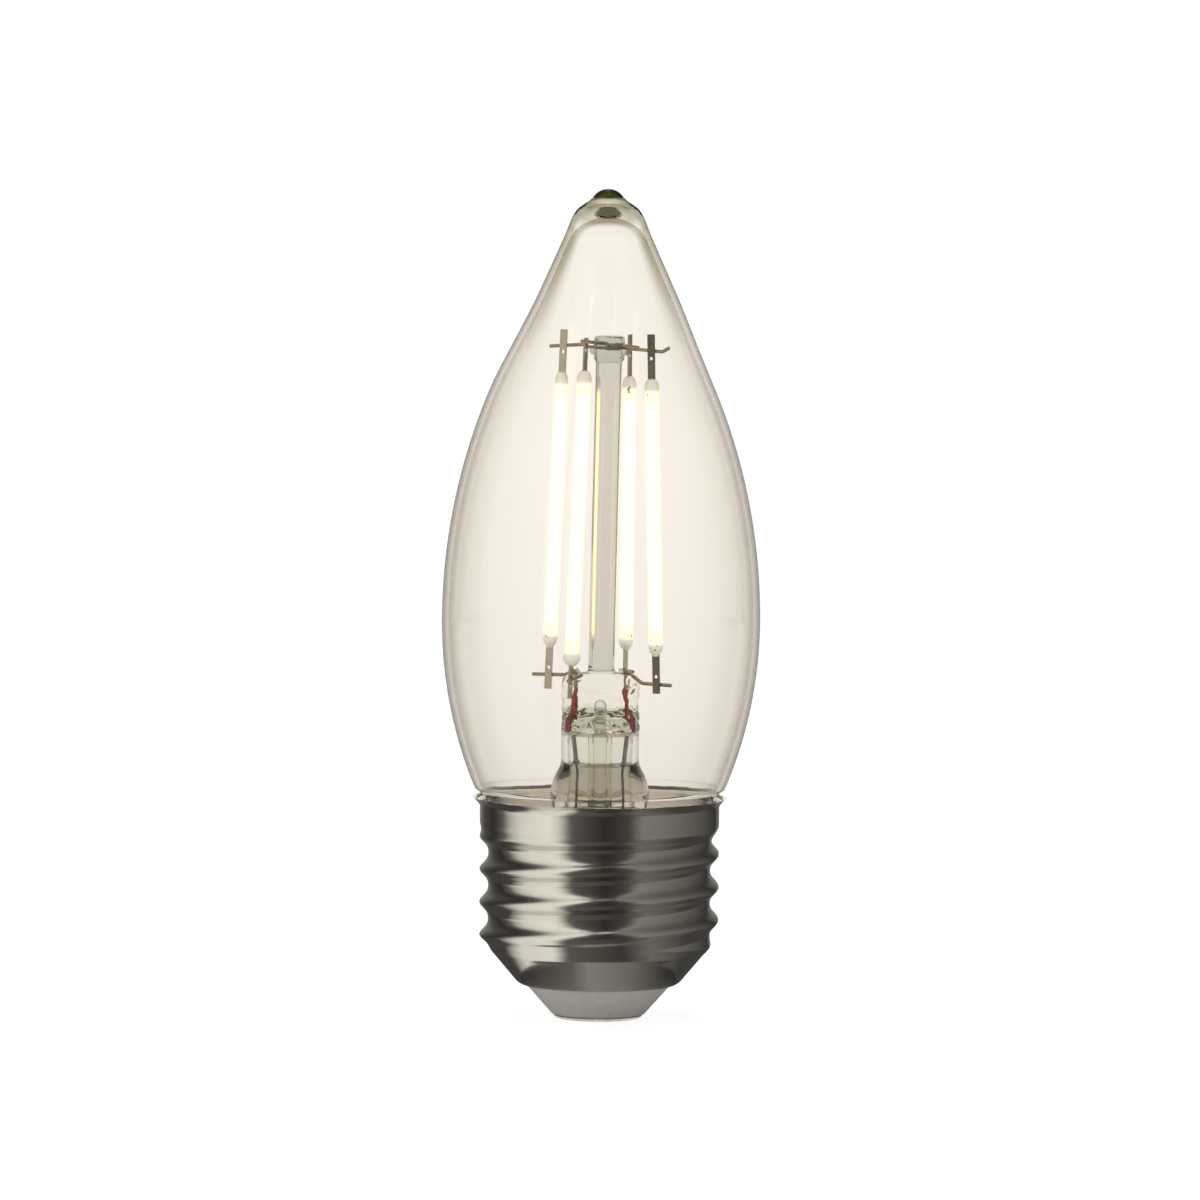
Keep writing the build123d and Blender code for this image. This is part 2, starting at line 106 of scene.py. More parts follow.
# Inside of the flare tube, round its roof and down the exhaust tube that hangs in it
STEM_INSIDE = [
    (16.6, 10.0, 10.0, 2), (17.2, 9.5, 9.5, 2), (19.4, 6.9, 6.9, 2), (21.4, 4.5, 4.5, 2),
    (22.6, 3.6, 3.6, 2), (24.0, 3.55, 3.55, 2), (28.0, 3.55, 3.55, 2), (30.6, 3.55, 3.55, 2),
    (31.3, 3.4, 3.4, 2), (31.58, 2.9, 2.9, 2), (31.62, 2.2, 2.2, 2), (31.4, 1.6, 1.6, 2),
    (30.8, 1.32, 1.32, 2), (24.0, 1.3, 1.3, 2), (17.0, 1.3, 1.3, 2), (16.0, 1.05, 1.05, 2),
    (15.65, 0.6, 0.6, 2), (15.6, 0.0, 0.0, 2),
]
# Bore of the exhaust tube, which turns out through the front of the press: point and radius
STEM_BORE = [
    (0, 0, 17.2, 0.0), (0, 0, 17.3, 0.5), (0, 0, 17.9, 0.75), (0, 0, 25.0, 0.75), (0, 0, 32.4, 0.75),
    (0, -0.12, 33.6, 0.76), (0, -0.6, 34.25, 0.74), (0, -1.3, 34.4, 0.72), (0, -1.8, 34.4, 0.6),
    (0, -1.9, 34.4, 0.0),
]
ROD_FOOT_X = 0.05
BUTTON_X = 0.7
PRESS_LOW = 31.5
PRESS_TOP = 37.9
BUTTON_LOW = 71.8
BUTTON_TOP = 74.7
PRESS_WAVES = 0.3
PRESS_WAVE_LENGTH = 0.8
BUTTON_WAVES = 0.08
BUTTON_WAVE_LENGTH = 0.4
ROD_MARGIN = 0.1
NUB_R = 0.45
NUB_REACH = 1.95
NUB_HEIGHT = 73.05
WIRE_HEADING = -27.5

# Beads at the strips' ends: widest radius and radius near the tip
BEADS = {
    (1, "upper"): (0.70, 0.56), (1, "lower"): (0.78, 0.50),
    (2, "upper"): (0.80, 0.62), (2, "lower"): (0.92, 0.66),
    (3, "upper"): (0.77, 0.58), (3, "lower"): (0.74, 0.48),
    (4, "upper"): (0.79, 0.60), (4, "lower"): (0.74, 0.46),
}
BEAD_LENGTH = 1.8
BEAD_OVERLAP = 0.12
BEAD_ROOT_R = 0.6
BEAD_STEP = 0.02
JACKET_R = 0.76

# Camera, fitted to the photograph
CAMERA_TARGET = (-0.00013, 0.0, 0.04587)
CAMERA_DISTANCE = 1.2
CAMERA_ELEVATION = 4.3
CAMERA_ROLL = 0.44
FRAME_WIDTH = 0.13115
SENSOR = 36.0
VIEW_END = 100.0

# Studio, in metres
LAMP_MIDDLE = (0, 0, 0.045)
CARD_DISTANCE = 0.6
CARD_TOP = 3.0
FLAG_TOP = 0.5
FLOOR_CARD_LIFT = 0.0003
LAMP_CLEAR = 0.045
UNDER_CAP = 0.0125
UNDER_CAP_HOLE = 0.001
FLOOR_REACH = 30.0

# Brightness of the cards at headings from the camera in degrees, and under the cap at millimetres across
STUDIO_TONES = [
    (-174, 0.30), (-145, 0.08), (-120, 0.03), (-104, 0.12), (-92, 0.60), (-80, 0.85), (-50, 1.0), (-40, 0.85),
    (-28, 0.11), (5, 0.03), (28, 0.07), (40, 0.26), (70, 0.20), (110, 0.11), (145, 0.04), (174, 0.30),
]
NEAR_FLOOR_TONES = [
    (-180, 0.06), (-95, 0.06), (-72, 0.85), (-38, 0.95), (-26, 0.12), (20, 0.05), (45, 0.18), (90, 0.06),
    (180, 0.06),
]
UNDER_CAP_TONES = [(-12, 0.03), (-5, 0.12), (-2, 0.28), (6, 0.18), (12, 0.03)]
FLAG_TONE = 0.3

# Where painted shade darkens the wall near the tip, where it looks thick: how edge-on it is seen, and its
# share of the lamp's height
TIP_SHADE_FACING = (0.36, 0.52)
TIP_SHADE_HEIGHT = (0.80, 0.93)

# Steps along the curves and sides round the rings
SWEEP_STEPS = 16
LOWER_FLANK_STEPS = 60
UPPER_FLANK_STEPS = 72
TIP_SIDE_STEPS = 40
DOME_STEPS = 16
SPLINE_STEPS = 8
ENVELOPE_SIDES = 144
CURL_STEPS = 12
SHOULDER_STEPS = 8
THREAD_STEPS = 150
SKIRT_STEPS = 4
LIP_STEPS = 6
SHELL_SIDES = 240
STEM_SIDES = 96
BORE_SIDES = 32
NUB_STEPS = 12
NUB_SIDES = 24
BEAD_STEPS = 5
BEAD_SIDES = 40
CARD_STEPS = 120


def smooth_step(value, low, high):
    """Smooth rise from 0 at low to 1 at high."""
    share = min(max((value - low) / (high - low), 0.0), 1.0)
    return share * share * (3 - 2 * share)


# Curves

def arc(start, through, end, steps):
    """Points on the circle through three points, from start to end, without the start."""
    (ax, ay), (bx, by), (cx, cy) = start, through, end
    d = 2 * (ax * (by - cy) + bx * (cy - ay) + cx * (ay - by))
    a2, b2, c2 = ax * ax + ay * ay, bx * bx + by * by, cx * cx + cy * cy
    ux = (a2 * (by - cy) + b2 * (cy - ay) + c2 * (ay - by)) / d
    uy = (a2 * (cx - bx) + b2 * (ax - cx) + c2 * (bx - ax)) / d
    r = math.hypot(ax - ux, ay - uy)
    first = math.atan2(ay - uy, ax - ux)
    turn = math.remainder(math.atan2(cy - uy, cx - ux) - first, 2 * math.pi)
    angles = [first + turn * i / steps for i in range(1, steps + 1)]
    return [(ux + r * math.cos(a), uy + r * math.sin(a)) for a in angles]


def tangent_arc(start, heading, end, steps):
    """Points on the arc that leaves start in a heading and reaches end."""
    hx, hy = heading
    dx, dy = end[0] - start[0], end[1] - start[1]
    side = -hy * dx + hx * dy
    r = (dx * dx + dy * dy) / (2 * side)
    cx, cy = start[0] - hy * r, start[1] + hx * r
    first = math.atan2(start[1] - cy, start[0] - cx)
    turn = math.remainder(math.atan2(end[1] - cy, end[0] - cx) - first, 2 * math.pi)
    angles = [first + turn * i / steps for i in range(1, steps + 1)]
    return [(cx + abs(r) * math.cos(a), cy + abs(r) * math.sin(a)) for a in angles]


def spline(rows, steps):
    """Smooth run through rows of numbers, with steps between each pair."""
    path = []
    for i in range(len(rows) - 1):
        here, there = rows[i], rows[i + 1]
        before, after = rows[max(i - 1, 0)], rows[min(i + 2, len(rows) - 1)]
        for step in range(steps):
            t = step / steps
            path.append(tuple(
                0.5 * (2 * b + (c - a) * t + (2 * a - 5 * b + 4 * c - d) * t * t
                       + (3 * b - a - 3 * c + d) * t ** 3)
                for a, b, c, d in zip(before, here, there, after)
            ))
    path.append(tuple(rows[-1]))
    return path


# Meshes

def ring_mesh(name, rings, closed=False):
    """Mesh over rings of points, in millimetres; a ring of one point is a pole."""
    bm = bmesh.new()
    loops = [[bm.verts.new(Vector(p) * MM) for p in ring] for ring in rings]
    pairs = list(zip(loops, loops[1:])) + ([(loops[-1], loops[0])] if closed else [])
    for low, high in pairs:
        count = max(len(low), len(high))
        for i in range(count):
            j = (i + 1) % count
            if len(low) == 1:
                bm.faces.new((low[0], high[j], high[i]))
            elif len(high) == 1:
                bm.faces.new((low[i], low[j], high[0]))
            else:
                bm.faces.new((low[i], low[j], high[j], high[i]))
    bmesh.ops.recalc_face_normals(bm, faces=bm.faces)
    mesh = bpy.data.meshes.new(name)
    bm.to_mesh(mesh)
    bm.free()
    mesh.shade_smooth()
    obj = bpy.data.objects.new(name, mesh)
    bpy.context.scene.collection.objects.link(obj)
    return obj


def circle(r, z, count, centre=(0.0, 0.0)):
    """A level ring of points, or one point where the radius is nothing."""
    if r < 1e-6:
        return [(centre[0], centre[1], z)]
    turns = [2 * math.pi * i / count for i in range(count)]
    return [(centre[0] + r * math.cos(a), centre[1] + r * math.sin(a), z) for a in turns]


def rounded_ring(z, half_x, half_y, power, count, centre_x):
    """A level ring between an ellipse and a rounded rectangle."""
    if half_x < 1e-6:
        return [(centre_x, 0.0, z)]
    ring = []
    for i in range(count):
        a = 2 * math.pi * i / count
        c, s = math.cos(a), math.sin(a)
        x = half_x * math.copysign(abs(c) ** (2 / power), c)
        y = half_y * math.copysign(abs(s) ** (2 / power), s)
        ring.append((centre_x + x, y, z))
    return ring


def tube_rings(path, count):
    """Rings square to a path of points and radii; a radius of nothing is a pole."""
    rings = []
    for i, (x, y, z, r) in enumerate(path):
        here = Vector((x, y, z))
        if r < 1e-3:
            rings.append([tuple(here)])
            continue
        before = Vector(path[max(i - 1, 0)][:3])
        after = Vector(path[min(i + 1, len(path) - 1)][:3])
        side = Vector((1, 0, 0))
        other = (after - before).normalized().cross(side)
        turns = [2 * math.pi * k / count for k in range(count)]
        rings.append([tuple(here + side * r * math.cos(a) + other * r * math.sin(a)) for a in turns])
    return rings


def ripple(obj, low, high, depth, length):
    """Soft uneven waves on a stretch of a piece, in millimetres."""
    for vertex in obj.data.vertices:
        z = vertex.co.z / MM
        share = smooth_step(z, low, low + length) * (1 - smooth_step(z, high - length, high))
        if share > 0:
            wave = mathutils.noise.noise(vertex.co / MM / length)
            vertex.co += vertex.normal * wave * depth * share * MM


def seat(obj, slot, *nodes):
    """The piece rides on the lamp and stands for these solids."""
    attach(obj, "root")
    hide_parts(*nodes)


# Materials

def new_material(name):
    """A node material with its tree and its main shader."""
    mat = bpy.data.materials.new(name)
    mat.use_nodes = True
    return mat, mat.node_tree, mat.node_tree.nodes["Principled BSDF"]


def add_node(tree, kind, links=(), **values):
    """A node with some inputs set to values and some linked."""
    made = tree.nodes.new(kind)
    for key, value in values.items():
        setattr(made, key, value)
    for socket, source in links:
        if hasattr(source, "is_output"):
            tree.links.new(source, made.inputs[socket])
        else:
            made.inputs[socket].default_value = source
    return made


def place(tree, output="Object"):
    """The surface's own coordinates."""
    return add_node(tree, "ShaderNodeTexCoord").outputs[output]


def noise(tree, scale, detail=3.0, stretch=None):
    """Cloudy variation, in features per metre, stretched if need be."""
    coords = place(tree)
    if stretch:
        coords = add_node(tree, "ShaderNodeMapping", [("Vector", coords), ("Scale", stretch)]).outputs[0]
    made = add_node(tree, "ShaderNodeTexNoise", [("Vector", coords), ("Scale", scale), ("Detail", detail)])
    return made.outputs[0]


def ramp(tree, factor, *stops):
    """Colours along a factor; a stop is a place and a grey or a colour."""
    made = add_node(tree, "ShaderNodeValToRGB", [("Fac", factor)])
    elements = made.color_ramp.elements
    while len(elements) < len(stops):
        elements.new(0.5)
    for element, (position, colour) in zip(elements, stops):
        rgb = colour if isinstance(colour, tuple) else (colour, colour, colour)
        element.position = position
        element.color = (*rgb, 1.0)
    return made.outputs["Color"]


def bump(tree, shader, height, strength, distance):
    """Fine relief on a shader, its depth in metres."""
    made = add_node(tree, "ShaderNodeBump", [
        ("Height", height), ("Strength", strength), ("Distance", distance),
    ])
    tree.links.new(made.outputs[0], shader.inputs["Normal"])


def let_lamps_through(tree, shader, tint):
    """Lamps shine through the glass onto what is behind it."""
    output = tree.nodes["Material Output"]
    path = add_node(tree, "ShaderNodeLightPath")
    clear = add_node(tree, "ShaderNodeBsdfTransparent", [("Color", (*tint, 1.0))])
    mix = add_node(tree, "ShaderNodeMixShader", [
        (0, path.outputs["Is Shadow Ray"]), (1, shader.outputs[0]), (2, clear.outputs[0]),
    ])
    tree.links.new(mix.outputs[0], output.inputs["Surface"])


def edge_on(tree):
    """0 where a surface faces the viewer, 1 where it is seen edge-on."""
    return add_node(tree, "ShaderNodeLayerWeight", [("Blend", 0.5)]).outputs["Facing"]


def height_share(tree):
    """How high a point lies, as a share of the lamp's height."""
    height = add_node(tree, "ShaderNodeSeparateXYZ", [("Vector", place(tree))]).outputs["Z"]
    return add_node(tree, "ShaderNodeMapRange", [(0, height), ("From Max", LAMP_HEIGHT * MM)]).outputs[0]


def tip_shade_mask(tree, facing, level):
    """1 where painted shade darkens the wall near the tip, where it looks thick, 0 elsewhere."""
    (face_low, face_high), (low, high) = TIP_SHADE_FACING, TIP_SHADE_HEIGHT
    steep = add_node(tree, "ShaderNodeMapRange", [
        (0, facing), ("From Min", face_low), ("From Max", face_high),
    ])
    above = add_node(tree, "ShaderNodeMapRange", [(0, level), ("From Min", low), ("From Max", high)])
    return add_node(tree, "ShaderNodeMath", [
        (0, steep.outputs[0]), (1, above.outputs[0]),
    ], operation="MULTIPLY").outputs[0]


def glass_material(name, ior, edge_shade_stops, tint_and_shade_stops, tint, rough=0.0, clear_stops=None, tip_shade=None):
    """Clear glass with painted shade towards its edges, and a tint and painted shade that vary with height.
    """
    mat, tree, shader = new_material(name)
    facing = edge_on(tree)
    level = height_share(tree)
    # Base colour: painted shade by how edge-on the glass is seen, times tint and painted shade by height
    colour = multiply(tree, ramp(tree, facing, *edge_shade_stops), ramp(tree, level, *tint_and_shade_stops))
    # Painted shade where the wall near the tip is seen thick
    if tip_shade:
        tip_shade_share = tip_shade_mask(tree, facing, level)
        colour = multiply(tree, colour, ramp(tree, tip_shade_share, (0.0, 1.0), (1.0, tip_shade)))
    streaks = ramp(tree, noise(tree, 90.0, 2.0, (1.0, 1.0, 0.25)), (0.35, 0.985), (0.65, 1.0))
    tree.links.new(multiply(tree, colour, streaks), shader.inputs["Base Color"])
    shader.inputs["Roughness"].default_value = rough
    shader.inputs["IOR"].default_value = ior
    shader.inputs["Specular IOR Level"].default_value = 0.3
    shader.inputs["Transmission Weight"].default_value = 1.0
    if clear_stops:
        tree.links.new(ramp(tree, level, *clear_stops), shader.inputs["Transmission Weight"])
    let_lamps_through(tree, shader, tint)
    return mat


def multiply(tree, first, second):
    """One colour times another."""
    made = add_node(tree, "ShaderNodeMix", data_type="RGBA", blend_type="MULTIPLY")
    made.inputs["Factor"].default_value = 1.0
    tree.links.new(first, made.inputs["A"])
    tree.links.new(second, made.inputs["B"])
    return made.outputs["Result"]


def envelope_glass():
    """Warm, clear envelope glass with painted shade a little darker near the cap and towards its edges, and
    an olive drop at its tip, partly glass tint and partly painted shade of the thick glass.
    """
    # Painted shade towards the edges, where the glass is seen edge-on
    edge = [
        (0.0, (0.978, 0.952, 0.910)), (0.18, (0.962, 0.930, 0.884)), (0.34, (0.944, 0.910, 0.862)),
        (0.52, (0.915, 0.875, 0.820)), (0.63, (0.800, 0.765, 0.702)), (0.70, (0.690, 0.645, 0.575)),
        (0.80, (0.420, 0.380, 0.290)), (1.0, (0.330, 0.300, 0.230)),
    ]
    # Painted shade a little darker near the cap; near the tip, olive glass tint with painted shade of the
    # thick glass
    tint_and_shade_by_height = [
        (0.26, 0.915), (0.40, 0.955), (0.50, 0.970), (0.68, 1.0), (0.962, 1.0), (0.969, (0.66, 0.64, 0.53)),
        (0.976, (0.40, 0.38, 0.26)), (0.983, (0.50, 0.48, 0.36)), (0.9865, (0.72, 0.70, 0.60)),
        (0.9875, (0.075, 0.09, 0.022)),
    ]
    # The tip lets less light through, as part of its painted shade
    clear = [(0.985, 1.0), (0.988, 0.5)]
    return glass_material("envelope_glass", 1.3, edge, tint_and_shade_by_height, (0.99, 0.985, 0.98), clear_stops=clear,
                          tip_shade=(0.46, 0.44, 0.34))


def stem_glass(name, body, ior=1.5, rough=0.0):
    """Clear lead glass, with painted shade greener and darker where it is seen edge-on, and a band of painted
    shade low on the press.
    """
    # Painted shade where the glass is seen edge-on
    edge = [
        (0.0, body), (0.5, tuple(0.94 * c for c in body)),
        (0.72, (0.50, 0.51, 0.42)), (1.0, (0.20, 0.21, 0.14)),
    ]
    # A band of painted shade low on the press
    tint_and_shade_by_height = [
        (0.2, 0.97), (0.342, 0.98), (0.350, (0.60, 0.62, 0.52)), (0.370, (0.66, 0.68, 0.57)), (0.378, 0.99),
    ]
    return glass_material(name, ior, edge, tint_and_shade_by_height, (0.98, 0.98, 0.97), rough)


def metal_material(name, dark, light, rough, grain, relief=0.0):
    """Metal with cloudy colour, uneven roughness and fine grain."""
    mat, tree, shader = new_material(name)
    colour = ramp(tree, noise(tree, grain, 4.0), (0.3, dark), (0.7, light))
    dullness = ramp(tree, noise(tree, grain * 3, 5.0), (0.3, rough[0]), (0.7, rough[1]))
    tree.links.new(colour, shader.inputs["Base Color"])
    tree.links.new(dullness, shader.inputs["Roughness"])
    shader.inputs["Metallic"].default_value = 1.0
    if relief:
        bump(tree, shader, noise(tree, grain * 6, 3.0), 0.5, relief)
    return mat


def plain_material(name, dark, light, rough, grain, relief=0.0):
    """Dull material with speckled colour and fine grain."""
    mat, tree, shader = new_material(name)
    colour = ramp(tree, noise(tree, grain, 5.0), (0.35, dark), (0.65, light))
    dullness = ramp(tree, noise(tree, grain * 2, 3.0), (0.3, rough[0]), (0.7, rough[1]))
    tree.links.new(colour, shader.inputs["Base Color"])
    tree.links.new(dullness, shader.inputs["Roughness"])
    if relief:
        bump(tree, shader, noise(tree, grain * 4, 3.0), 0.6, relief)
    return mat


def phosphor_material():
    """Lit phosphor: near white, yellower at its edges and ends."""
    mat, tree, shader = new_material("lit_phosphor")
    round_glow = ramp(tree, edge_on(tree), (0.0, (1.0, 0.97, 0.72)), (0.5, (1.0, 0.93, 0.64)),
                      (1.0, (0.74, 0.58, 0.28)))
    along = add_node(tree, "ShaderNodeSeparateXYZ", [("Vector", place(tree, "Generated"))]).outputs["Z"]
    ends = ramp(tree, along, (0.0, (0.88, 0.80, 0.62)), (0.06, (1.0, 0.97, 0.9)), (0.94, (1.0, 0.97, 0.9)),
                (1.0, (0.88, 0.80, 0.62)))
    tree.links.new(multiply(tree, round_glow, ends), shader.inputs["Emission Color"])
    shader.inputs["Emission Strength"].default_value = 1.5
    tree.links.new(ramp(tree, noise(tree, 2500.0), (0.3, (0.8, 0.62, 0.2)), (0.7, (0.9, 0.74, 0.3))),
                   shader.inputs["Base Color"])
    shader.inputs["Roughness"].default_value = 0.6
    return mat


def bead_material():
    """Milky bead with dark specks, a painted glow next to the strip and painted amber shade at its edges."""
    mat, tree, shader = new_material("milky_bead")
    # Painted amber shade where the bead is seen edge-on
    body = ramp(tree, edge_on(tree), (0.0, (0.86, 0.85, 0.80)), (0.6, (0.80, 0.76, 0.66)),
                (1.0, (0.42, 0.33, 0.18)))
    specks = ramp(tree, noise(tree, 1900.0, 1.0), (0.27, (0.22, 0.17, 0.09)), (0.34, (1.0, 1.0, 1.0)))
    colour = multiply(tree, body, specks)
    tree.links.new(colour, shader.inputs["Base Color"])
    # Painted glow, brightest next to the strip
    nearness = add_node(tree, "ShaderNodeAttribute", attribute_name="near_light").outputs["Fac"]
    glow = ramp(tree, nearness, (0.0, (0.06, 0.06, 0.055)), (0.55, (0.14, 0.13, 0.10)),
                (1.0, (0.85, 0.74, 0.48)))
    tree.links.new(multiply(tree, glow, specks), shader.inputs["Emission Color"])
    shader.inputs["Emission Strength"].default_value = 1.0
    shader.inputs["Roughness"].default_value = 0.12
    shader.inputs["Coat Weight"].default_value = 0.5
    return mat


# Pieces

def envelope_profile(inset):
    """The envelope's wall from neck to tip, drawn in by a wall for the hollow."""
    rise = math.radians(UPPER_FLANK_ANGLE)
    lower, upper = LOWER_FLANK_R - inset, UPPER_FLANK_R - inset
    lower_centre, upper_centre = BELLY_R - LOWER_FLANK_R, BELLY_R - UPPER_FLANK_R
    sweep_z = NECK_SWEEP_TOP
    sweep_r = lower_centre + math.sqrt(lower ** 2 - (BELLY_HEIGHT - sweep_z) ** 2)
    first = math.asin((sweep_z - BELLY_HEIGHT) / lower)
    neck_top = (NECK_R - inset, NECK_TOP)
    points = [(NECK_R - inset, NECK_LOW), neck_top]
    points += tangent_arc(neck_top, (0.0, 1.0), (sweep_r, sweep_z), SWEEP_STEPS)
    for i in range(1, LOWER_FLANK_STEPS + 1):
        a = first * (1 - i / LOWER_FLANK_STEPS)
        points.append((lower_centre + lower * math.cos(a), BELLY_HEIGHT + lower * math.sin(a)))
    for i in range(1, UPPER_FLANK_STEPS + 1):
        a = rise * i / UPPER_FLANK_STEPS
        points.append((upper_centre + upper * math.cos(a), BELLY_HEIGHT + upper * math.sin(a)))
    side = (TIP_START[0] - TIP_WALL, TIP_START[1]) if inset else TIP_START
    points += tangent_arc(points[-1], (-math.sin(rise), math.cos(rise)), side, TIP_SIDE_STEPS)
    edge, top = side, HOLLOW_TOP if inset else TIP_TOP
    if not inset:
        points += spline([TIP_START] + TIP_NECK, SPLINE_STEPS)[1:]
        edge = TIP_NECK[-1]
    dome = arc(edge, (0.0, top), (-edge[0], edge[1]), 2 * DOME_STEPS)[:DOME_STEPS]
    wall = points + dome[:-1] + [(0.0, top)]
    return [(r - SEAT_GAP * (1 - smooth_step(z, CAP_HEIGHT, SEAT_GAP_TOP)), z) for r, z in wall]


def build_envelope(mat):
    """Blown envelope with its drawn, slightly crooked tip."""
    outside = envelope_profile(0.0)
    inside = envelope_profile(GLASS_WALL)[::-1]
    rings = []
    for r, z in outside + inside:
        lean = CROOK * smooth_step(z, CROOK_LOW, CROOK_HIGH)
        rings.append(circle(r, z, ENVELOPE_SIDES, (lean, 0.0)))
    split = len(outside)
    bottom_join = rings[split:] + rings[:split]
    obj = ring_mesh("envelope", bottom_join)
    obj.data.materials.append(mat)
    seat(obj, "glass", "glass_envelope")


def shoulder_rows(inset):
    """The shell's curled bottom and shoulder as height, radius and swing."""
    floor = CAP_BOTTOM + inset
    corner = SHOULDER_R - inset - SHOULDER_TAPER * (THREAD_LOW - floor)
    curl = SHOULDER_CURL - inset
    slope = math.atan2(1.0, SHOULDER_TAPER)
    centre = (corner - curl * math.tan(slope / 2), floor + curl)
    rows = [(floor, CAP_HOLE_R, 0.0)]
    for i in range(CURL_STEPS + 1):
        a = -math.pi / 2 + slope * i / CURL_STEPS
        rows.append((centre[1] + curl * math.sin(a), centre[0] + curl * math.cos(a), 0.0))
    rows = [row for row in rows if row[1] >= CAP_HOLE_R - 1e-9]
    z, r, swing = rows[-1]
    for i in range(1, SHOULDER_STEPS):
        share = i / SHOULDER_STEPS
        rows.append((z + (THREAD_LOW - z) * share, r + (SHOULDER_R - inset - r) * share, swing))
    return rows


def thread_rows(inset):
    """The shell's thread, whose swing fades out at both ends."""
    mid, swing = (CREST_R + ROOT_R) / 2, (CREST_R - ROOT_R) / 2
    rows = []
    for i in range(THREAD_STEPS + 1):
        z = THREAD_LOW + (THREAD_HIGH - THREAD_LOW) * i / THREAD_STEPS
        if z < THREAD_FULL_LOW:
            share = (z - THREAD_LOW) / (THREAD_FULL_LOW - THREAD_LOW)
            s = swing * smooth_step(share, 0, 1)
            r = mid - (mid - SHOULDER_R) * (1 - share) ** 2
        else:
            share = smooth_step(z, THREAD_FULL_HIGH, THREAD_HIGH)
            s, r = swing * (1 - share), mid + swing * share
        rows.append((z, r - inset, s))
    return rows


def lip_rows(inset):
    """The shell's plain skirt and the lip that flares from it."""
    rows = []
    for i in range(1, SKIRT_STEPS + 1):
        rows.append((THREAD_HIGH + (LIP_START - THREAD_HIGH) * i / SKIRT_STEPS, CREST_R - inset, 0.0))
    for i in range(1, LIP_STEPS + 1):
        share = i / LIP_STEPS
        flare = (LIP_R - CREST_R) * share ** LIP_FLARE
        rows.append((LIP_START + (CAP_HEIGHT - LIP_START) * share, CREST_R - inset + flare, 0.0))
    return rows


def shell_rows(inset):
    """The shell's wall from its bottom hole to its lip."""
    return shoulder_rows(inset) + thread_rows(inset) + lip_rows(inset)


def shell_ring(row):
    """A ring of the shell, with the rolled thread's wave and the lip's uneven edge."""
    z, r, swing = row
    phase = 2 * math.pi * (z - CREST_HEIGHT) / PITCH
    lift = smooth_step(z, LIP_START, CAP_HEIGHT) * LIP_RAGGED
    ring = []
    for i in range(SHELL_SIDES):
        a = 2 * math.pi * i / SHELL_SIDES
        wave = math.cos(a - phase) + CREST_SHARPNESS * (math.cos(2 * (a - phase)) - 1)
        here = r + swing * wave
        rough = math.sin(7 * a + 1.3) + 0.6 * math.sin(17 * a) + 0.5 * math.sin(41 * a + 0.7)
        ring.append((here * math.cos(a), here * math.sin(a), z + lift * (rough - 1) / 3))
    return ring


def build_shell(mat):
    """Rolled screw shell with its lip and curled bottom."""
    outside = [shell_ring(row) for row in shell_rows(0.0)]
    inside = [shell_ring(row) for row in shell_rows(SHEET)]
    obj = ring_mesh("screw_shell_rolled", outside + inside[::-1], closed=True)
    obj.data.set_sharp_from_angle(angle=math.radians(SHARP_EDGE))
    obj.data.materials.append(mat)
    seat(obj, "nickel_shell", "screw_shell")


def stem_rings(rows):
    """Rings along a run of the stem, leaning with the rod above the press."""
    rings = []
    for z, half_x, half_y, power in spline(rows, SPLINE_STEPS):
        lean = ROD_FOOT_X + (BUTTON_X - ROD_FOOT_X) * (z - PRESS_TOP) / (BUTTON_TOP - PRESS_TOP)
        rings.append(rounded_ring(z, max(half_x, 0.0), max(half_y, 0.0), power, STEM_SIDES, max(lean, 0.0)))
    return rings


def nub_rings(sign):
    """A small glass drop where a top wire leaves the button."""
    a = math.radians(WIRE_HEADING)
    centre = (BUTTON_X + sign * NUB_REACH * math.cos(a), sign * NUB_REACH * math.sin(a))
    turns = [math.pi * i / NUB_STEPS for i in range(NUB_STEPS + 1)]
    return [circle(NUB_R * math.sin(t), NUB_HEIGHT - NUB_R * math.cos(t), NUB_SIDES, centre) for t in turns]


def build_stem():
    """Flare tube, press, exhaust tube and rod, fused as one clear glass piece."""
    stem = ring_mesh("glass_stem", stem_rings(STEM_INSIDE)[::-1] + stem_rings(STEM_OUTSIDE))
    ripple(stem, PRESS_LOW, PRESS_TOP, PRESS_WAVES, PRESS_WAVE_LENGTH)
    ripple(stem, BUTTON_LOW, BUTTON_TOP, BUTTON_WAVES, BUTTON_WAVE_LENGTH)
    bore = ring_mesh("stem_bore", tube_rings(spline(STEM_BORE, SPLINE_STEPS), BORE_SIDES))
    bore.data.flip_normals()
    joined = bmesh.new()
    joined.from_mesh(stem.data)
    joined.from_mesh(bore.data)
    for sign in (-1, 1):
        nub = ring_mesh("stem_nub", nub_rings(sign))
        joined.from_mesh(nub.data)
        bpy.data.objects.remove(nub)
    joined.to_mesh(stem.data)
    joined.free()
    bpy.data.objects.remove(bore)
    stem.data.shade_smooth()
    stem.data.materials.append(stem_glass("flare_glass", (0.95, 0.95, 0.91), 1.38))
    stem.data.materials.append(stem_glass("rod_glass", (0.70, 0.685, 0.64)))
    stem.data.materials.append(stem_glass("button_glass", (0.58, 0.60, 0.54), 1.5, 0.15))
    for face in stem.data.polygons:
        z = face.center.z / MM
        face.material_index = int(z > PRESS_TOP + ROD_MARGIN) + int(z > BUTTON_LOW)
    seat(stem, "glass", "stem_flare", "exhaust_tube", "stem_rod")


def middle_of(node):
    """Middle of a solid's box, in millimetres."""
    low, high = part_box(node)
    return (Vector(low) + Vector(high)) / 2 / MM


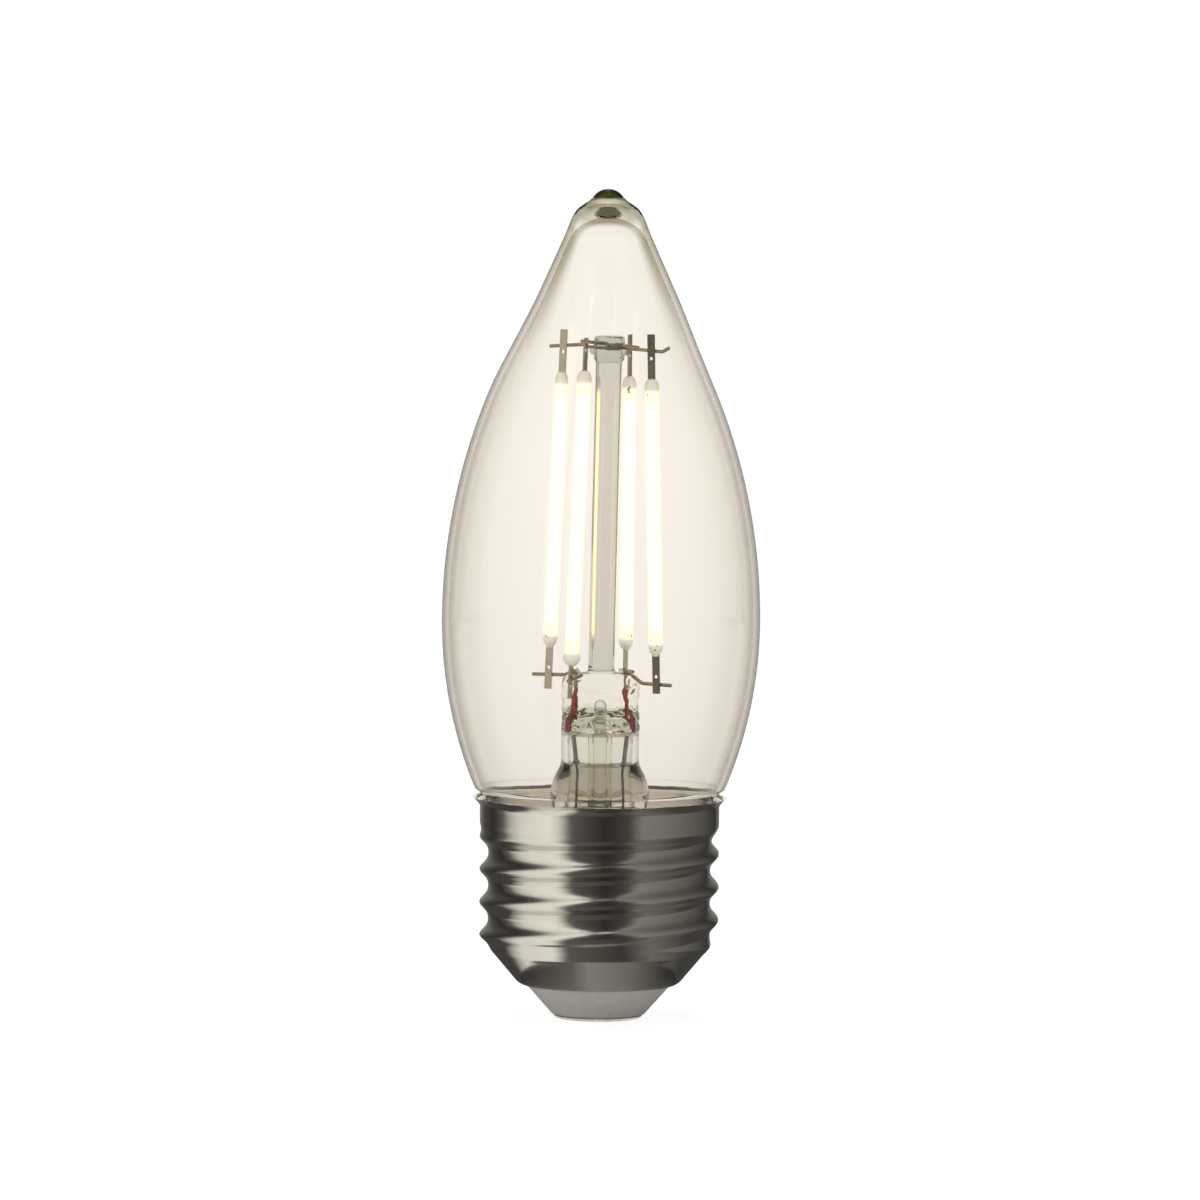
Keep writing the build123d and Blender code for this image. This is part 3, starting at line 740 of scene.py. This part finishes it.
def build_bead(number, end, mat):
    """A drop of milky resin over a strip's end."""
    node = f"strip_{number}_{end}_bead"
    other = f"strip_{number}_{'lower' if end == 'upper' else 'upper'}_bead"
    along = (middle_of(node) - middle_of(other)).normalized()
    start = middle_of(node) - along * BEAD_LENGTH / 2
    wide, tip = BEADS[number, end]
    profile = spline([
        (-BEAD_OVERLAP, 0.0), (-BEAD_OVERLAP, BEAD_ROOT_R), (0.0, JACKET_R + BEAD_STEP),
        (0.55 * BEAD_LENGTH, wide), (0.84 * BEAD_LENGTH, tip), (0.97 * BEAD_LENGTH, tip * 0.6),
        (BEAD_LENGTH, 0.0),
    ], BEAD_STEPS)
    turn = along.to_track_quat("Z", "Y")
    rings = []
    for t, r in profile:
        ring = circle(max(r, 0.0), t, BEAD_SIDES)
        rings.append([tuple(start + turn @ Vector(p)) for p in ring])
    obj = ring_mesh(f"bead_{number}_{end}", rings)
    near = obj.data.attributes.new("near_light", "FLOAT", "POINT")
    for vertex, value in zip(obj.data.vertices, near.data):
        value.value = 1 - smooth_step((vertex.co / MM - start).dot(along), 0.0, 0.75 * BEAD_LENGTH)
    obj.data.materials.append(mat)
    seat(obj, "bead", node)


def metal_looks():
    """Metals by a part of the node's name; a later name wins."""
    wire = metal_material("bright_nickel_wire", (0.20, 0.15, 0.10), (0.34, 0.27, 0.19), (0.18, 0.3), 900.0)
    tab = metal_material("tab_metal", (0.36, 0.33, 0.26), (0.42, 0.38, 0.30), (0.16, 0.24), 300.0)
    # Strip 4's tabs: a darker copy of the tab metal, with painted shade
    shaded_tab_metal = metal_material("tab_painted_shade", (0.09, 0.08, 0.06), (0.13, 0.11, 0.08), (0.2, 0.3), 300.0)
    copper = metal_material("bare_copper", (0.62, 0.36, 0.24), (0.76, 0.46, 0.32), (0.25, 0.4), 900.0)
    dumet = metal_material("dumet_red", (0.27, 0.03, 0.016), (0.34, 0.045, 0.025), (0.2, 0.3), 600.0)
    lead = metal_material("lead_wire", (0.10, 0.11, 0.12), (0.24, 0.25, 0.27), (0.3, 0.45), 1200.0)
    contact = metal_material("contact_metal", (0.42, 0.40, 0.35), (0.62, 0.59, 0.52), (0.2, 0.36), 700.0)
    return {
        "centre_contact": contact, "tab": tab, "strip_4_upper_tab": shaded_tab_metal, "strip_4_lower_tab": shaded_tab_metal,
        "support_wire": wire, "inner_lead": wire, "branch_wire": wire, "dumet": dumet, "outer_lead": lead,
        "live_wire": copper, "neutral_wire": copper,
    }


def plain_looks():
    """Dull materials by a part of the node's name."""
    rows = {
        "insulator": ("grey_insulator", (0.47, 0.45, 0.41), (0.51, 0.49, 0.45), (0.38, 0.5), 1400.0, 2e-5),
        "base_cement": ("pale_cement", (0.96, 0.94, 0.89), (0.98, 0.97, 0.93), (0.7, 0.9), 1500.0, 6e-5),
        "substrate": ("pale_substrate", (0.7, 0.66, 0.55), (0.8, 0.77, 0.68), (0.4, 0.6), 1500.0),
        "driver_board": ("board_laminate", (0.62, 0.60, 0.50), (0.72, 0.70, 0.60), (0.4, 0.6), 900.0),
        "bridge_rectifier": ("black_package", (0.015, 0.015, 0.016), (0.03, 0.03, 0.032), (0.4, 0.6), 2500.0),
        "driver_chip": ("black_chip", (0.015, 0.015, 0.016), (0.03, 0.03, 0.032), (0.35, 0.55), 2500.0),
        "filter_capacitor": ("capacitor_sleeve", (0.02, 0.02, 0.025), (0.05, 0.05, 0.06), (0.3, 0.5), 900.0),
        "fusible_resistor": ("resistor_coat", (0.24, 0.33, 0.30), (0.33, 0.44, 0.40), (0.45, 0.65), 1500.0),
    }
    return {part: plain_material(*row) for part, row in rows.items()}


def dress_nodes():
    """Materials for the pieces that keep their solid's shape."""
    looks = {**metal_looks(), **plain_looks(), "phosphor": phosphor_material()}
    for name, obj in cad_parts.items():
        for part, mat in looks.items():
            if part in name:
                obj.data.materials.clear()
                obj.data.materials.append(mat)


# Stage

def level_at(stops, place_on_card):
    """Brightness on a card between the two nearest stops."""
    for (low, dark), (high, light) in zip(stops, stops[1:]):
        if place_on_card <= high:
            return dark + (light - dark) * max(0.0, place_on_card - low) / (high - low)
    return stops[-1][1]


def card(name, near, far, high, stops, across=False, seen="glossy"):
    """A card that stands round the lamp and lies on the floor up to it, seen in reflections or through glass.
    Its stops are tones at headings from the camera in degrees, or across the lamp in millimetres."""
    left, right = (-180, 180) if across else (stops[0][0], stops[-1][0])
    profile = [(near, FLOOR_CARD_LIFT), (far, FLOOR_CARD_LIFT), (far, high)]
    points, faces, shades = [], [], []
    for i in range(CARD_STEPS + 1):
        heading = left + (right - left) * i / CARD_STEPS
        a = math.radians(heading)
        for r, z in profile:
            points.append((r * math.sin(a), -r * math.cos(a), z))
            shades.append(level_at(stops, r * math.sin(a) / MM if across else heading))
        if i:
            k = 3 * i
            faces += [(k - 3, k, k + 1, k - 2), (k - 2, k + 1, k + 2, k - 1)]
    mesh = bpy.data.meshes.new(name)
    mesh.from_pydata(points, [], faces)
    mesh.attributes.new("shade", "FLOAT", "POINT").data.foreach_set("value", shades)
    obj = bpy.data.objects.new(name, mesh)
    bpy.context.scene.collection.objects.link(obj)
    mesh.materials.append(light_material(name))
    obj.visible_camera = False
    obj.visible_diffuse = False
    obj.visible_shadow = False
    obj.visible_glossy = seen == "glossy"
    obj.visible_transmission = seen == "through"


def light_material(name):
    """A self-lit grey that takes its brightness from the card."""
    mat = bpy.data.materials.new(name)
    mat.use_nodes = True
    tree = mat.node_tree
    tree.nodes.remove(tree.nodes["Principled BSDF"])
    shade = add_node(tree, "ShaderNodeAttribute", attribute_name="shade")
    glow = add_node(tree, "ShaderNodeEmission", [
        ("Color", (1.0, 0.98, 0.94, 1.0)), ("Strength", shade.outputs["Fac"]),
    ])
    tree.links.new(glow.outputs[0], tree.nodes["Material Output"].inputs["Surface"])
    return mat


def seen_directly(tree):
    """1 for rays that show the background: from the camera, off metal and through glass."""
    path = add_node(tree, "ShaderNodeLightPath")
    first = add_node(tree, "ShaderNodeMath", [
        (0, path.outputs["Is Camera Ray"]), (1, path.outputs["Is Glossy Ray"]),
    ], operation="MAXIMUM")
    return add_node(tree, "ShaderNodeMath", [
        (0, first.outputs[0]), (1, path.outputs["Is Transmission Ray"]),
    ], operation="MAXIMUM").outputs[0]


def build_floor():
    """Pale floor, white to the eye, that keeps the shadow."""
    mesh = bpy.data.meshes.new("floor")
    corners = [(x * FLOOR_REACH, y * FLOOR_REACH, 0) for x, y in [(-1, -1), (1, -1), (1, 1), (-1, 1)]]
    mesh.from_pydata(corners, [], [(0, 1, 2, 3)])
    floor = bpy.data.objects.new("floor", mesh)
    bpy.context.scene.collection.objects.link(floor)
    mat, tree, shader = new_material("pale_floor")
    shader.inputs["Base Color"].default_value = (0.8, 0.8, 0.8, 1.0)
    shader.inputs["Roughness"].default_value = 0.9
    glow = add_node(tree, "ShaderNodeEmission", [("Color", (0.9, 0.9, 0.9, 1.0))])
    shade = add_node(tree, "ShaderNodeBsdfDiffuse", [("Color", (0.16, 0.16, 0.16, 1.0))])
    white = add_node(tree, "ShaderNodeAddShader", [(0, glow.outputs[0]), (1, shade.outputs[0])])
    mix = add_node(tree, "ShaderNodeMixShader", [
        (0, seen_directly(tree)), (1, shader.outputs[0]), (2, white.outputs[0]),
    ])
    tree.links.new(mix.outputs[0], tree.nodes["Material Output"].inputs["Surface"])
    mesh.materials.append(mat)


def build_world():
    """White surround, a little dimmer as a lamp than as a background."""
    world = bpy.data.worlds.new("surround")
    bpy.context.scene.world = world
    world.use_nodes = True
    tree = world.node_tree
    background = tree.nodes["Background"]
    background.inputs["Color"].default_value = (1.0, 1.0, 1.0, 1.0)
    level = add_node(tree, "ShaderNodeMapRange", [
        (0, seen_directly(tree)), ("To Min", 0.85), ("To Max", 1.0),
    ])
    tree.links.new(level.outputs[0], background.inputs["Strength"])


def softbox(name, heading, height, distance, width, tall, radiance, aim):
    """A soft lamp aimed at a point, which no eye and no reflection sees."""
    light = bpy.data.lights.new(name, "AREA")
    light.shape = "RECTANGLE"
    light.size = width
    light.size_y = tall
    light.energy = radiance * math.pi * width * tall
    obj = bpy.data.objects.new(name, light)
    a = math.radians(heading)
    obj.location = (distance * math.sin(a), -distance * math.cos(a), height)
    obj.rotation_euler = (Vector(aim) - obj.location).to_track_quat("-Z", "Y").to_euler()
    obj.visible_camera = False
    obj.visible_glossy = False
    obj.visible_transmission = False
    bpy.context.scene.collection.objects.link(obj)


def build_stage():
    """Floor, surround, soft lamps and the cards that the metal and the glass show."""
    build_floor()
    build_world()
    softbox("left_softbox", heading=-67, height=0.16, distance=0.62, width=0.62, tall=0.5, radiance=1.1,
            aim=LAMP_MIDDLE)
    softbox("top_softbox", heading=0, height=0.7, distance=0.15, width=0.6, tall=0.5, radiance=1.1,
            aim=LAMP_MIDDLE)
    softbox("strip_light", heading=0, height=0.0382, distance=0.0, width=0.026, tall=0.026, radiance=6.0,
            aim=(0, 0, 0))
    card("studio", LAMP_CLEAR, CARD_DISTANCE, CARD_TOP, STUDIO_TONES)
    card("under_cap", UNDER_CAP_HOLE, UNDER_CAP, FLOOR_CARD_LIFT, UNDER_CAP_TONES, across=True)
    card("near_floor", UNDER_CAP, LAMP_CLEAR, FLOOR_CARD_LIFT, NEAR_FLOOR_TONES)
    flags = {"right_flag": (101, 131), "left_flag": (-131, -101)}
    for name, sides in flags.items():
        tones = [(side, FLAG_TONE) for side in sides]
        card(name, CARD_DISTANCE, CARD_DISTANCE, FLAG_TOP, tones, seen="through")


def build_camera():
    """Camera at the photograph's angle, a long lens a little above the middle."""
    camera = bpy.data.cameras.new("camera")
    camera.sensor_width = SENSOR
    camera.lens = SENSOR * CAMERA_DISTANCE / FRAME_WIDTH
    camera.clip_end = VIEW_END
    obj = bpy.data.objects.new("camera", camera)
    tilt = math.radians(CAMERA_ELEVATION)
    gaze = Vector((0.0, math.cos(tilt), -math.sin(tilt)))
    obj.location = Vector(CAMERA_TARGET) - gaze * CAMERA_DISTANCE
    obj.rotation_euler = gaze.to_track_quat("-Z", "Y").to_euler()
    obj.rotation_euler.rotate_axis("Z", math.radians(CAMERA_ROLL))
    bpy.context.scene.collection.objects.link(obj)
    bpy.context.scene.camera = obj


def set_view():
    """Plain view colours and enough bounces for glass behind glass."""
    scene = bpy.context.scene
    scene.view_settings.view_transform = "Standard"
    scene.cycles.max_bounces = 32
    scene.cycles.transmission_bounces = 28
    scene.cycles.transparent_max_bounces = 24


def rolled_nickel():
    """Bright rolled sheet of the screw shell."""
    dark, light = (0.70, 0.68, 0.61), (0.74, 0.72, 0.65)
    return metal_material("rolled_nickel", dark, light, (0.11, 0.16), 500.0, 1.5e-6)


build_envelope(envelope_glass())
build_shell(rolled_nickel())
build_stem()
milky = bead_material()
for strip_number, strip_end in BEADS:
    build_bead(strip_number, strip_end, milky)
dress_nodes()
build_stage()
build_camera()
set_view()
